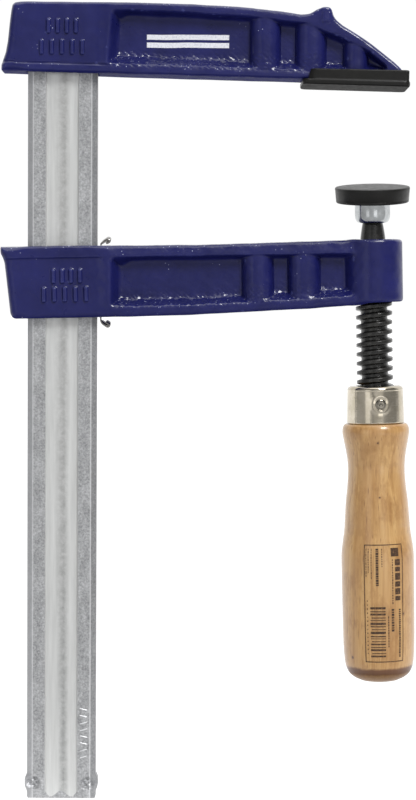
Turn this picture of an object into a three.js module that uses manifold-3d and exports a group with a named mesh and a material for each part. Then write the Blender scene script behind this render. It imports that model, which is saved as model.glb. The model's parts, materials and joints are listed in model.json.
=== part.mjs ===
// An F-clamp for carpentry: a profiled steel bar with a cast fixed arm on its end, and a cast sliding arm that
// carries a trapezoidal spindle with a swivelling pressure plate and a turned wooden handle.
// Millimetres, +Z up. The origin is the point of the fixed jaw's clamping face that the spindle aims at, +X runs
// from the bar towards the spindle, and the clamp is the same on both sides of the plane Y = 0.
import * as THREE from "three";
import { mergeVertices } from "three/addons/utils/BufferGeometryUtils.js";
import Module from "manifold-3d";

const wasm = await Module();
wasm.setup();

// ---- driving dimensions, in millimetres and degrees ----
const THROAT = 120; // from the bar's inner edge to the spindle's axis
const GAP = 0.3; // between pieces that are fixed together
const DEGREES = Math.PI / 180;

const BAR = {
  width: 30,
  thickness: 8,
  top: 35.5,
  bottom: -310.3,
  edgeChamfer: [2.4, 1.6], // along the width, through the thickness
  channels: { outer: 7.1, inner: 0.9, depth: 1.1, ribDrop: 0.35 },
  endTaper: [4, 1.25], // length, depth from each face
};
const STAKE = { across: 12, up: 7, radius: 4, thickness: 7.2, dimple: 2.7, dimpleDepth: 1.3 };
const REACH = THROAT + BAR.width / 2; // from the bar's centre line to the spindle's axis

const CASTING = { halfWidth: 9.5, halfWeb: 3.4, slotSide: 0.4 };
const JAW = { slope: 1.31 * DEGREES, capFloor: 2.2, capTop: 7.4, tip: 145.7 };
const FIXED_TOP = 35.8;
const HEEL = -26.3; // the flange's far edge, behind the bar

const SLIDING = { height: -84.2, half: 15.7, noseLow: -12.9, rock: 1.45 * DEGREES };
const BOSS = { radius: 12.8, low: -11.5, high: 15.7 };
const SLOT = { back: -15.5, front: 17.6 }; // the sliding arm's slot: the brake spring sits in its front

const THREAD = { pitch: 4, crest: 7.9, root: 5.8, crestWidth: 1.46, rootWidth: 2.6, top: 10.2, bottom: -48.8 };
const THREAD_PLAY = 0.3;
const STEPS_PER_TURN = 24;

const BALL = { height: 27.5, radius: 5.85, socket: 6.15, mouthDrop: 3.3 };
const THRUST_BALL = { radius: 2.5, up: 3.3 };
const PLATE = { tilt: 8.5 * DEGREES, cup: 7.35, disc: 14.6, discLow: 6.3, discHigh: 9.3 };
const PLATE_CAP = { top: 16.3, foot: 15.75, low: 4.4, high: 11.3, mouth: 12, wall: 1.4 };

const FERRULE = { high: -47.7, low: -63.9, top: 12.15, foot: 12.55, wall: 0.9, hole: 8.3, corner: 1.8 };
const HANDLE_END = -177;
const SHANK = { radius: 5.6, end: -118 };
const PIN = { height: -55.4, radius: 2, turn: 6.5 * DEGREES, half: 12.7 };

// ---- materials ----
const finish = (color, roughness, metalness) => new THREE.MeshStandardMaterial({ color, roughness, metalness });
const paint = finish(0x2b2d66, 0.42, 0);
const zinc = finish(0xb4b5b6, 0.45, 0.9);
const springSteel = finish(0x9c9a98, 0.35, 1);
const blackSteel = finish(0x222221, 0.5, 0.6);
const nickel = finish(0xc4bcab, 0.25, 1);
const blackPlastic = finish(0x242422, 0.6, 0);
const beech = finish(0xc49a63, 0.45, 0);

// ---- helpers ----

// A closed geometry as a solid, its faces turned outwards if they point in.
function solid(geometry) {
  const bare = geometry.clone();
  bare.deleteAttribute("normal");
  bare.deleteAttribute("uv");
  const merged = mergeVertices(bare, 1e-4);
  const corners = merged.index.array;
  const triangles = [];
  for (let i = 0; i < corners.length; i += 3) {
    const [a, b, c] = [corners[i], corners[i + 1], corners[i + 2]];
    if (a !== b && b !== c && c !== a) triangles.push([a, b, c]);
  }
  const build = (list) =>
    new wasm.Manifold(
      new wasm.Mesh({
        numProp: 3,
        vertProperties: merged.attributes.position.array,
        triVerts: new Uint32Array(list.flat()),
      }),
    );
  const made = build(triangles);
  return made.volume() < 0 ? build(triangles.map(([a, b, c]) => [a, c, b])) : made;
}

// A solid as a geometry with normals.
function geometryOf(body) {
  const { numProp, vertProperties, triVerts, numVert } = body.getMesh();
  const positions = new Float32Array(numVert * 3);
  for (let i = 0; i < numVert; i++) positions.set(vertProperties.subarray(i * numProp, i * numProp + 3), i * 3);
  const made = new THREE.BufferGeometry();
  made.setAttribute("position", new THREE.BufferAttribute(positions, 3));
  made.setIndex(new THREE.BufferAttribute(triVerts, 1));
  made.computeVertexNormals();
  return made;
}

function piece(name, body, material, parent) {
  const made = new THREE.Mesh(geometryOf(body), material);
  made.name = name;
  parent.add(made);
  return made;
}

const polygon = (points) => new THREE.Shape(points.map(([x, y]) => new THREE.Vector2(x, y)));

// A side-view shape, drawn in X and Z, given a thickness in Y from -half to +half.
function slab(shape, half, curveSegments = 10) {
  const made = new THREE.ExtrudeGeometry(shape, { depth: 2 * half, bevelEnabled: false, curveSegments });
  return solid(made.rotateX(Math.PI / 2).translate(0, half, 0));
}

// The stretch between two distances from the plane Y = 0, on both sides of the clamp.
function bothSides(shape, inner, outer) {
  const front = slab(shape, (outer - inner) / 2).translate([0, -(inner + outer) / 2, 0]);
  return front.add(front.mirror([0, 1, 0]));
}

function box(low, high) {
  const size = low.map((v, i) => high[i] - v);
  const middle = low.map((v, i) => (high[i] + v) / 2);
  return solid(new THREE.BoxGeometry(...size).translate(...middle));
}

// A solid of revolution about Z from a closed outline of [radius, height] pairs.
function turned(outline, segments = 48) {
  const points = [...outline, outline[0]].map(([r, z]) => new THREE.Vector2(Math.max(r, 0), z));
  return solid(new THREE.LatheGeometry(points, segments).rotateX(Math.PI / 2));
}

const rod = (radius, low, high, segments = 32) =>
  turned([[0, low], [radius, low], [radius, high], [0, high]], segments);

// Points of a circular arc in a turned outline, between two angles measured from the radius direction.
function arc(centreR, centreZ, radius, from, to, steps = 6) {
  return Array.from({ length: steps + 1 }, (_, i) => {
    const angle = from + ((to - from) * i) / steps;
    return [centreR + radius * Math.cos(angle), centreZ + radius * Math.sin(angle)];
  });
}

// The turned ridge of a right-hand trapezoidal thread about Z. Its inner edge lies inside the core it is added to.
function threadRidge({ crest, root, crestWidth, rootWidth, pitch, low, high, inner }) {
  const flank = (rootWidth - crestWidth) / 2 / (crest - root);
  const innerWidth = rootWidth + 2 * flank * (root - inner);
  const section = [
    [inner, -innerWidth / 2],
    [crest, -crestWidth / 2],
    [crest, crestWidth / 2],
    [inner, innerWidth / 2],
  ];
  const steps = Math.round(((high - low) / pitch) * STEPS_PER_TURN);
  const positions = [];
  for (let i = 0; i <= steps; i++) {
    const angle = ((low / pitch) + i / STEPS_PER_TURN) * 2 * Math.PI;
    const height = low + (i * pitch) / STEPS_PER_TURN;
    for (const [r, up] of section) positions.push(r * Math.cos(angle), r * Math.sin(angle), height + up);
  }
  const index = [];
  for (let i = 0; i < steps; i++) {
    for (let k = 0; k < 4; k++) {
      const [a, b] = [4 * i + k, 4 * i + ((k + 1) % 4)];
      index.push(a, b, b + 4, a, b + 4, a + 4);
    }
  }
  const last = 4 * steps;
  index.push(0, 3, 2, 0, 2, 1, last, last + 1, last + 2, last, last + 2, last + 3);
  const made = new THREE.BufferGeometry();
  made.setAttribute("position", new THREE.Float32BufferAttribute(positions, 3));
  made.setIndex(index);
  return solid(made);
}

// The side view of a bent strip: its centre line, given half its thickness on each side.
function stripShape(centre, thickness) {
  const points = centre.map(([x, z]) => new THREE.Vector2(x, z));
  const offset = (side) =>
    points.map((p, i) => {
      const before = points[Math.max(i - 1, 0)];
      const after = points[Math.min(i + 1, points.length - 1)];
      const along = after.clone().sub(before).normalize();
      return new THREE.Vector2(p.x - (along.y * side * thickness) / 2, p.y + (along.x * side * thickness) / 2);
    });
  return new THREE.Shape([...offset(1), ...offset(-1).reverse()]);
}

// ---- the bar ----

// The bar's section: flat lands, two shallow rolled channels with a low rib between them, and chamfered edges.
function barSection() {
  const [w, t] = [BAR.width / 2, BAR.thickness / 2];
  const [cx, cy] = BAR.edgeChamfer;
  const { outer, inner, depth, ribDrop } = BAR.channels;
  const middle = (outer + inner) / 2;
  const face = [
    [w - cx, t],
    [outer, t],
    [outer - 1.2, t - depth],
    [middle, t - depth - 0.1],
    [inner + 0.9, t - depth],
    [inner, t - ribDrop],
  ];
  const half = [[w, t - cy], ...face, ...face.map(([x, y]) => [-x, y]).reverse(), [-w, t - cy]];
  return polygon([...half, ...half.map(([x, y]) => [x, -y]).reverse()]);
}

function makeBar() {
  const length = BAR.top - BAR.bottom;
  let body = solid(new THREE.ExtrudeGeometry(barSection(), { depth: length, bevelEnabled: false })).translate([
    0,
    0,
    BAR.bottom,
  ]);
  const [long, deep] = BAR.endTaper;
  const t = BAR.thickness / 2;
  const sideView = polygon([
    [-t, BAR.top],
    [-t, BAR.bottom + long],
    [deep - t, BAR.bottom],
    [t - deep, BAR.bottom],
    [t, BAR.bottom + long],
    [t, BAR.top],
  ]);
  body = body.intersect(slab(sideView, BAR.width).rotate([0, 0, 90]));
  // Two staked craters near the free end swell its edges, so that the sliding arm can't come off.
  for (const side of [-1, 1]) {
    const place = [side * STAKE.across, 0, BAR.bottom + STAKE.up];
    const half = STAKE.thickness / 2;
    body = body.add(rod(STAKE.radius, -half, half, 24).rotate([90, 0, 0]).translate(place));
    const crater = turned([
      [0, half - STAKE.dimpleDepth],
      [0.5, half - STAKE.dimpleDepth],
      [STAKE.dimple + 0.6, half + 0.6],
      [0, half + 0.6],
    ], 20);
    for (const turn of [90, -90]) body = body.subtract(crater.rotate([turn, 0, 0]).translate(place));
  }
  return body;
}

// ---- the fixed arm ----

// The height of the fixed arm's underside, which slopes down to the jaw. x is measured from the bar's centre line.
const underside = (x) => JAW.capFloor + GAP + (REACH - x) * Math.tan(JAW.slope);

function fixedArmOutline() {
  const s = new THREE.Shape();
  s.moveTo(HEEL, underside(HEEL));
  s.lineTo(JAW.tip, underside(JAW.tip));
  s.lineTo(JAW.tip, 7.6);
  s.quadraticCurveTo(133, 18.2, 118.8, 26.9);
  // the hammer lug on the back of the nose
  s.lineTo(116.5, 30.6);
  s.quadraticCurveTo(115.6, 33.4, 113.9, 33.5);
  s.lineTo(109.6, 33.4);
  s.quadraticCurveTo(107.6, 33, 102.6, 30.5);
  s.quadraticCurveTo(75, 35.3, 37.7, 35.4);
  s.lineTo(-20.3, FIXED_TOP);
  s.quadraticCurveTo(-21.6, FIXED_TOP, -21.8, 34.2);
  s.lineTo(-23.5, 18.8);
  s.quadraticCurveTo(-24.2, 12.4, HEEL, 9.8);
  return s;
}

function fixedArmPocket() {
  const floor = (x) => underside(x) + 5.4;
  const s = new THREE.Shape();
  s.moveTo(22.3, floor(22.3));
  s.lineTo(136.5, floor(136.5));
  s.quadraticCurveTo(128, 16.4, 116, 22.6);
  s.quadraticCurveTo(85, 30, 37.7, 31.2);
  s.lineTo(22.3, 31.7);
  return s;
}

// Round columns that stiffen a pocket: each stands on the web and ends inside the flanges.
function columns(places, outline) {
  const whole = slab(outline, CASTING.halfWidth);
  return places
    .map(([x, radius]) => rod(radius, -20, 60, 28).translate([x, 0, 0]))
    .reduce((sum, column) => sum.add(column))
    .intersect(whole);
}

function makeFixedArm() {
  const outline = fixedArmOutline();
  const side = CASTING.slotSide;
  return slab(outline, CASTING.halfWidth)
    .subtract(bothSides(fixedArmPocket(), CASTING.halfWeb, CASTING.halfWidth + 1))
    .add(columns([[87.1, 7.1], [106.7, 7], [126, 5.9]], outline))
    .subtract(
      box(
        [-BAR.width / 2 - GAP, -BAR.thickness / 2 - side, -20],
        [BAR.width / 2 + GAP, BAR.thickness / 2 + side, FIXED_TOP + 20],
      ),
    );
}

// The plastic cap on the fixed jaw, drawn with its clamping face level: a floor with a rim, and walls that grip
// the foot of the casting on three sides.
function makeJawCap() {
  const inner = CASTING.halfWidth + GAP;
  const wall = 1.8;
  const [back, front] = [-28.8, JAW.tip - REACH + GAP];
  const wallTop = JAW.capTop;
  const floor = polygon([
    [-32.3, 1],
    [-31.3, 0],
    [13.9, 0],
    [14.9, 1],
    [14.9, JAW.capFloor],
    [-32.3, JAW.capFloor],
  ]);
  const walls = box([back, -inner - wall, 0.5], [front + wall * 0.8, inner + wall, wallTop]);
  const room = box([back - 5, -inner, JAW.capFloor], [front, inner, wallTop + 5]);
  return slab(floor, inner + wall + 1).add(walls).subtract(room);
}

// ---- the sliding arm, drawn square to the bar, from the bar's centre line and the arm's middle height ----

function slidingArmOutline() {
  const { half, noseLow } = SLIDING;
  const s = new THREE.Shape();
  s.moveTo(-21.8, -half);
  s.lineTo(45, -half);
  s.lineTo(REACH - 11, noseLow);
  s.lineTo(REACH, noseLow);
  s.lineTo(REACH, half);
  s.lineTo(HEEL + 1.2, half);
  s.quadraticCurveTo(HEEL, half, HEEL, half - 1.2);
  s.lineTo(HEEL, half - 3.4);
  s.quadraticCurveTo(HEEL + 0.2, half - 5, -24.9, half - 5.8);
  return s;
}

function slidingArmPocket() {
  const low = (x) => -SLIDING.half + 5.4 + ((x - 20) / (REACH - 31)) * 2.8;
  return polygon([
    [22.3, low(22.3)],
    [127, low(127)],
    [127, 9.8],
    [22.3, 9.8],
  ]);
}

// The spindle's thread as a cutter, wider than the thread by the play between them.
function nutThread() {
  const cutter = {
    ...THREAD,
    crest: THREAD.crest + THREAD_PLAY,
    crestWidth: THREAD.crestWidth + 1.6 * THREAD_PLAY,
    rootWidth: THREAD.rootWidth + 2 * THREAD_PLAY,
    inner: THREAD.root - 1,
    low: -4 * THREAD.pitch,
    high: 5 * THREAD.pitch,
  };
  return rod(THREAD.root + THREAD_PLAY + 0.15, -20, 20, STEPS_PER_TURN).add(threadRidge(cutter));
}

function makeSlidingArm() {
  const outline = slidingArmOutline();
  const side = BAR.thickness / 2 + CASTING.slotSide;
  const boss = rod(BOSS.radius, BOSS.low, BOSS.high, 40).translate([REACH, 0, 0]);
  return slab(outline, CASTING.halfWidth)
    .subtract(bothSides(slidingArmPocket(), CASTING.halfWeb, CASTING.halfWidth + 1))
    .add(columns([[84.6, 7.4], [104.7, 7.5]], outline))
    .subtract(box([REACH - 2, -15, -20], [REACH + 20, 15, 20]))
    .add(boss)
    .subtract(nutThread().translate([REACH, 0, 0]))
    .subtract(box([SLOT.back, -side, -20], [SLOT.front, side, 20]));
}

// A leaf spring between the bar's inner edge and the slot, hooked over the arm above and below.
function makeBrakeSpring() {
  const hook = [
    [16.6, 13.5],
    [16.6, 15.9],
    [17, 17],
    [19.1, 18.6],
    [19.8, 18.9],
    [20.4, 18.6],
    [20.3, 17.9],
    [18.9, 16.95],
  ];
  const upper = [[15.5, 0], [15.6, 3], [16.1, 8.5], ...hook];
  const lower = upper.slice(1).map(([x, z]) => [x, -z]);
  return slab(stripShape([...lower.reverse(), ...upper], 0.55), 3);
}

// ---- the spindle and what it carries, drawn about its own axis from the arm's middle height ----

function makeSpindle() {
  const headLow = Math.asin(-4.1 / BALL.radius);
  const head = arc(0, BALL.height, BALL.radius, headLow, Math.acos(2.8 / BALL.radius), 12);
  const neckLow = THREAD.top + 1;
  const core = turned(
    [
      [0, SHANK.end],
      [SHANK.radius - 2, SHANK.end],
      [SHANK.radius, SHANK.end + 4],
      [SHANK.radius, FERRULE.low + 2],
      [THREAD.root, FERRULE.low + 2],
      [THREAD.root, neckLow],
      ...head,
      [2.8, BALL.height + THRUST_BALL.up - THRUST_BALL.radius - GAP],
      [0, BALL.height + THRUST_BALL.up - THRUST_BALL.radius - GAP],
    ],
    STEPS_PER_TURN * 2,
  );
  const ridge = threadRidge({ ...THREAD, low: THREAD.bottom + 1.3, high: THREAD.top - 1.3, inner: THREAD.root - 0.8 });
  return core.add(ridge).subtract(crossHole());
}

// The hole that the handle's pin goes through, along X until it is turned about the spindle.
const crossHole = () => turnedPin(rod(PIN.radius + GAP, -20, 20, 20));
const turnedPin = (body) =>
  body
    .rotate([90, 0, 0])
    .rotate([0, 0, PIN.turn / DEGREES])
    .translate([0, 0, PIN.height]);

function makePin() {
  const dome = 0.7;
  return turnedPin(
    turned([
      [0, -PIN.half],
      [PIN.radius * 0.6, -PIN.half + dome * 0.3],
      [PIN.radius, -PIN.half + dome],
      [PIN.radius, PIN.half - dome],
      [PIN.radius * 0.6, PIN.half - dome * 0.3],
      [0, PIN.half],
    ], 20),
  );
}

// A drawn sleeve with a rounded shoulder and a hole for the thread in its top.
function makeFerrule() {
  const { high, low, top, foot, wall, hole, corner } = FERRULE;
  return turned([
    [foot - wall, low],
    [foot, low],
    ...arc(top - corner, high - corner, corner, 0, Math.PI / 2, 5),
    [hole, high],
    [hole, high - wall],
    [top - corner, high - wall],
    [top - wall, high - corner],
  ]).subtract(crossHole());
}

// The turned handle, bored for the shank, with a tenon inside the ferrule.
function makeHandle() {
  const swell = new THREE.SplineCurve(
    [
      [14.65, -67.8],
      [14, -71.8],
      [13.1, -76.3],
      [12.4, -84.5],
      [12.75, -91],
      [13.6, -98],
      [14.1, -105.5],
      [14.5, -111],
      [15.35, -116],
      [15.95, -124],
      [15.85, -142],
      [15.65, -160],
      [15.2, -167.5],
      [13.6, -172.6],
      [9.6, -176],
    ].map(([r, z]) => new THREE.Vector2(r, z)),
  ).getPoints(30);
  const tenon = FERRULE.top - FERRULE.wall - GAP;
  const bore = SHANK.radius + 0.5;
  return turned(
    [
      [bore, SHANK.end - GAP],
      [bore, FERRULE.high - FERRULE.wall - GAP],
      [tenon - 1, FERRULE.high - FERRULE.wall - GAP],
      [tenon, FERRULE.high - FERRULE.wall - GAP - 1],
      [tenon, FERRULE.low - GAP],
      [12.8, FERRULE.low - GAP],
      [13.9, FERRULE.low - 1.4],
      ...swell.map((p) => [p.x, p.y]),
      [0, HANDLE_END],
      [0, SHANK.end - GAP],
    ],
    40,
  ).subtract(crossHole());
}

const makeThrustBall = () =>
  turned(arc(0, BALL.height + THRUST_BALL.up, THRUST_BALL.radius, -Math.PI / 2, Math.PI / 2, 12), 24);

// The steel plate and its ball cup, about the ball's centre.
function makePressurePlate() {
  const { cup, disc, discLow, discHigh } = PLATE;
  const mouthAngle = Math.asin(-BALL.mouthDrop / BALL.socket);
  return turned([
    ...arc(0, 0, BALL.socket, Math.PI / 2, mouthAngle, 14),
    [5.75, -4.1],
    [6.3, -3.9],
    [7.05, -2.7],
    [cup, -1],
    [cup, discLow],
    [disc, discLow],
    [disc, discHigh],
    [0, discHigh],
  ]);
}

// The plastic cap snapped over the steel plate, about the ball's centre.
function makePlateCap() {
  const { top, foot, low, high, mouth, wall } = PLATE_CAP;
  return turned([
    [0, PLATE.discHigh + GAP],
    [top - wall, PLATE.discHigh + GAP],
    [top - wall, PLATE.discLow - GAP],
    [mouth, PLATE.discLow - GAP],
    [mouth, low],
    [foot, low],
    [top, high - 0.5],
    [top - 0.5, high],
    [0, high],
  ], 56);
}

// ---- assembly ----

const clamp = new THREE.Group();

const barLine = new THREE.Group();
barLine.position.x = -REACH;
clamp.add(barLine);
piece("bar", makeBar(), zinc, barLine);
piece("fixed_arm", makeFixedArm(), paint, barLine);

const jaw = new THREE.Group();
jaw.rotation.y = JAW.slope;
clamp.add(jaw);
piece("jaw_cap", makeJawCap(), blackPlastic, jaw);

const carriage = new THREE.Group();
carriage.position.z = SLIDING.height;
barLine.add(carriage);
piece("brake_spring", makeBrakeSpring(), springSteel, carriage);

// The loose arm has rocked in its slot: its nose stands a little high.
const rockedArm = new THREE.Group();
rockedArm.rotation.y = -SLIDING.rock;
carriage.add(rockedArm);
piece("sliding_arm", makeSlidingArm(), paint, rockedArm);

const spindleLine = new THREE.Group();
spindleLine.position.x = REACH;
rockedArm.add(spindleLine);
piece("thrust_ball", makeThrustBall(), springSteel, spindleLine);
piece("spindle", makeSpindle(), blackSteel, spindleLine);
piece("ferrule", makeFerrule(), nickel, spindleLine);
piece("ferrule_pin", makePin(), nickel, spindleLine);
piece("handle", makeHandle(), beech, spindleLine);

const swivel = new THREE.Group();
swivel.position.z = BALL.height;
swivel.rotation.x = PLATE.tilt;
spindleLine.add(swivel);
piece("pressure_plate", makePressurePlate(), zinc, swivel);
piece("plate_cap", makePlateCap(), blackPlastic, swivel);

export default clamp;
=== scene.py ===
import json
import math
from itertools import cycle, product

import bpy
import numpy as np
from mathutils import Matrix, Vector


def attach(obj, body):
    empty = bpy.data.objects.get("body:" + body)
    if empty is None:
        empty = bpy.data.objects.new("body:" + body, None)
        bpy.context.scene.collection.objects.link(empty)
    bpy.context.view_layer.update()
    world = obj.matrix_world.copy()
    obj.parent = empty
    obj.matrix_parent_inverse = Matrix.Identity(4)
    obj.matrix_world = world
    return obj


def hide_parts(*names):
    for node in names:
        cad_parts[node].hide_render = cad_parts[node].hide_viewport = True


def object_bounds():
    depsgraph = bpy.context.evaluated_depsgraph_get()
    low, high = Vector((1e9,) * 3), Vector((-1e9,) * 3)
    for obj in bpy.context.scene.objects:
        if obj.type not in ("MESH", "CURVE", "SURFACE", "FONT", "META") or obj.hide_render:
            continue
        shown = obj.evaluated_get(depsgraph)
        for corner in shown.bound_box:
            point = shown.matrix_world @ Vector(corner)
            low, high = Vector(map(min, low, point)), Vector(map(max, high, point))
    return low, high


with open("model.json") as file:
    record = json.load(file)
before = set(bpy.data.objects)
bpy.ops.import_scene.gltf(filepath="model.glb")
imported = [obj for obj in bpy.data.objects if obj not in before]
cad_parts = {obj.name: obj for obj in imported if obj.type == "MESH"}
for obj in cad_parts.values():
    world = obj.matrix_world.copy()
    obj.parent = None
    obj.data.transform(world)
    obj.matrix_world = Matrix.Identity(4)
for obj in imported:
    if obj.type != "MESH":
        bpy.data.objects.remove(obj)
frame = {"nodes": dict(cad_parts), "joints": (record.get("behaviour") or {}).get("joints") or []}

cad_low, cad_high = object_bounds()

MM = 0.001
THROAT = 120.0
BAR_WIDTH, BAR_THICKNESS = 30.0, 8.0
REACH = THROAT + BAR_WIDTH / 2  # from the bar's centre line to the spindle's axis
JAW_SLOPE = math.radians(1.31)
GROOVE_HALF = 7.1  # half the width of the bar's rolled channel

# ---- frames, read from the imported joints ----

joints = {j["name"]: j for j in frame["joints"]}
hinge = joints["arm_rock"]
screw = joints["spindle_turn"]
arm_centre = Vector(hinge["pos_m"])
spindle_axis = Vector(screw["axis"]).normalized()
ball_centre = Vector(screw["pos_m"])
BALL_HEIGHT = 27.5  # the ball's centre above the arm's middle, along the spindle

arm_turn = Vector((0, 0, 1)).rotation_difference(spindle_axis).to_matrix().to_4x4()
BAR_FRAME = Matrix.Translation((-REACH * MM, 0, 0))
ARM_FRAME = Matrix.Translation(arm_centre) @ arm_turn
SPINDLE_FRAME = Matrix.Translation(ball_centre - spindle_axis * BALL_HEIGHT * MM) @ arm_turn
PLATE_TILT = math.radians(8.5)
PLATE_FRAME = Matrix.Translation(ball_centre) @ arm_turn @ Matrix.Rotation(PLATE_TILT, 4, "X")
JAW_FRAME = Matrix.Rotation(JAW_SLOPE, 4, "Y")


# ---- mesh helpers ----

def make(name, points, faces, place, body, slot, material, nodes=(), smooth=True):
    """A mesh piece from points in millimetres, placed, painted and set to ride on a body."""
    points = np.asarray(points, float)
    turn = np.array(place.to_3x3())
    moved = (points * MM) @ turn.T + np.array(place.translation)
    mesh = bpy.data.meshes.new(name)
    mesh.from_pydata(moved.tolist(), [], [tuple(map(int, f)) for f in faces])
    mesh.validate()
    mesh.materials.append(material)
    mesh.polygons.foreach_set("use_smooth", [smooth] * len(mesh.polygons))
    piece = bpy.data.objects.new(name, mesh)
    bpy.context.scene.collection.objects.link(piece)
    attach(piece, body)
    if nodes:
        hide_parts(*nodes)
    return piece


def sharpen(piece, degrees=35):
    """Breaks the smooth shading at every edge sharper than this."""
    piece.data.set_sharp_from_angle(angle=math.radians(degrees))


def loft(rings, close_ends=True):
    """Points and faces through a stack of closed rings, each with the same number of points."""
    count = len(rings[0])
    points = [p for ring in rings for p in ring]
    faces = []
    for i in range(len(rings) - 1):
        a, b = i * count, (i + 1) * count
        for k in range(count):
            n = (k + 1) % count
            faces.append((a + k, a + n, b + n, b + k))
    if close_ends:
        faces.append(tuple(reversed(range(count))))
        faces.append(tuple(range(len(points) - count, len(points))))
    return points, faces


def spline(knots, steps):
    """Points on a smooth line through the knots, with this many steps between each two."""
    knots = np.asarray(knots, float)
    ends = np.vstack([2 * knots[0] - knots[1], knots, 2 * knots[-1] - knots[-2]])
    out = []
    for i in range(1, len(ends) - 2):
        a, b, c, d = ends[i - 1 : i + 3]
        bend, twist = 2 * a - 5 * b + 4 * c - d, 3 * b - a - 3 * c + d
        for t in np.arange(steps) / steps:
            out.append(0.5 * (2 * b + (c - a) * t + bend * t**2 + twist * t**3))
    return np.array(out + [ends[-2]])


def revolve(profile, segments=96, wobble=None):
    """A surface of revolution about Z from an outline of (radius, height), open at its first and last ring.
    wobble gives the change of a point's radius from its angle and height."""
    angles = 2 * np.pi * np.arange(segments) / segments
    cosines, sines = np.cos(angles), np.sin(angles)
    rings = []
    for r, z in profile:
        radius = np.full(segments, r) if wobble is None else r + wobble(angles, z) * (r > 0.5)
        rings.append(np.column_stack([radius * cosines, radius * sines, np.full(segments, z)]))
    return loft(rings, close_ends=False)


def ring_loop(profile, segments=96, wobble=None):
    """As revolve, for an outline that is a closed loop away from the axis."""
    points, faces = revolve([*profile, profile[0]], segments, wobble)
    count = len(points) - segments
    return points[:count], [tuple(i if i < count else i - count for i in f) for f in faces]


def capped(profile, segments=96, wobble=None):
    """As revolve, with its first and last ring closed by flat discs."""
    points, faces = revolve(profile, segments, wobble)
    faces.append(tuple(reversed(range(segments))))
    faces.append(tuple(range(len(points) - segments, len(points))))
    return points, faces


def sheet(start, rows, wide, flip=False):
    """Quads over a sheet of points that starts at an index and is stored row by row."""
    corners = [start + i * wide + k for i in range(rows - 1) for k in range(wide - 1)]
    quads = [(a, a + 1, a + wide + 1, a + wide) for a in corners]
    return [quad[::-1] for quad in quads] if flip else quads


# ---- fields: distances to shapes, negative inside, meshed where they cross zero ----

def outline_distance(corners, x, z):
    """The signed distance from a closed outline in the XZ plane."""
    nearest = np.full(np.broadcast(x, z).shape, np.inf)
    inside = np.zeros(nearest.shape, bool)
    for (ax, az), (bx, bz) in zip(corners, [*corners[1:], corners[0]]):
        ex, ez = bx - ax, bz - az
        wx, wz = x - ax, z - az
        t = np.clip((wx * ex + wz * ez) / max(ex * ex + ez * ez, 1e-12), 0, 1)
        nearest = np.minimum(nearest, (wx - ex * t) ** 2 + (wz - ez * t) ** 2)
        inside ^= ((az <= z) != (bz <= z)) & ((ex * wz > ez * wx) == (bz > az))
    return np.where(inside, -1, 1) * np.sqrt(nearest)


def union(a, b, r):
    h = np.clip(0.5 + 0.5 * (b - a) / r, 0, 1)
    return b * (1 - h) + a * h - r * h * (1 - h)


def meet(a, b, r):
    return -union(-a, -b, r)


def cut(a, b, r):
    return -union(-a, b, r)


def box_distance(x, y, z, centre, half, radius=0.0):
    q = [np.abs(v - c) - (h - radius) for v, c, h in zip((x, y, z), centre, half)]
    outside = np.sqrt(sum(np.maximum(v, 0) ** 2 for v in q))
    return outside + np.minimum(np.maximum(np.maximum(q[0], q[1]), q[2]), 0) - radius


def ramp(v, low, high):
    t = np.clip((v - low) / (high - low), 0, 1)
    return t * t * (3 - 2 * t)


def grid(low, high, step):
    """Coordinates of a grid that covers a box, in three arrays that broadcast."""
    axes = [np.arange(a - 1.5 * step, b + 1.5 * step, step) for a, b in zip(low, high)]
    return axes[0][:, None, None], axes[1][None, :, None], axes[2][None, None, :]


def skin(field, axes, step):
    """Points and quads on a field's zero surface, facing out."""
    origin = np.array([a.ravel()[0] for a in axes])
    inside = field < 0
    shape = tuple(n - 1 for n in field.shape)
    window = lambda o: tuple(slice(a, a + n) for a, n in zip(o, shape))
    count = sum(inside[window(o)].astype(np.int8) for o in product((0, 1), repeat=3))
    active = (count > 0) & (count < 8)
    index = np.full(shape, -1)
    index[active] = np.arange(active.sum())
    cells = np.argwhere(active)
    total, hits = np.zeros((len(cells), 3)), np.zeros(len(cells))
    units = np.eye(3, dtype=int)
    for axis in range(3):
        for o in product((0, 1), repeat=3):
            if o[axis]:
                continue
            a = field[tuple((cells + o).T)]
            b = field[tuple((cells + o + units[axis]).T)]
            hit = (a < 0) != (b < 0)
            t = a[hit] / (a[hit] - b[hit])
            total[hit] += np.array(o) + units[axis] * t[:, None]
            hits[hit] += 1
    points = origin + (cells + total / hits[:, None]) * step
    faces = []
    for axis in range(3):
        u, v = units[(axis + 1) % 3], units[(axis + 2) % 3]
        first = np.take(inside, range(field.shape[axis] - 1), axis)
        second = np.take(inside, range(1, field.shape[axis]), axis)
        edges = np.argwhere(first != second)
        edges = edges[((edges @ u) >= 1) & ((edges @ v) >= 1)]
        ends = [(edges - u - v), (edges - v), edges, (edges - u)]
        keep = np.all([np.all(e < shape, 1) & np.all(e >= 0, 1) for e in ends], 0)
        quads = np.column_stack([index[tuple(e[keep].T)] for e in ends])
        flip = ~inside[tuple(edges[keep].T)]
        quads[flip] = quads[flip][:, ::-1]
        faces.append(quads)
    return points, np.vstack(faces)


def waves(points, size, seed):
    """A smooth pseudo-random height for each point, between about -1 and 1, in waves about this long."""
    rng = np.random.default_rng(seed)
    total = np.zeros(len(points))
    for _ in range(14):
        way = rng.normal(size=3)
        way *= 2 * np.pi / (size * rng.uniform(0.7, 1.6) * np.linalg.norm(way))
        total += np.sin(points @ way + rng.uniform(0, 2 * np.pi))
    return total / math.sqrt(14)


# ---- materials ----

def linear(colour):
    """A screen colour, 0 to 255, as the linear colour that shaders take."""
    share = lambda v: v / 12.92 if v <= 0.04045 else ((v + 0.055) / 1.055) ** 2.4
    return tuple(share(c / 255) for c in colour)


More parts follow.
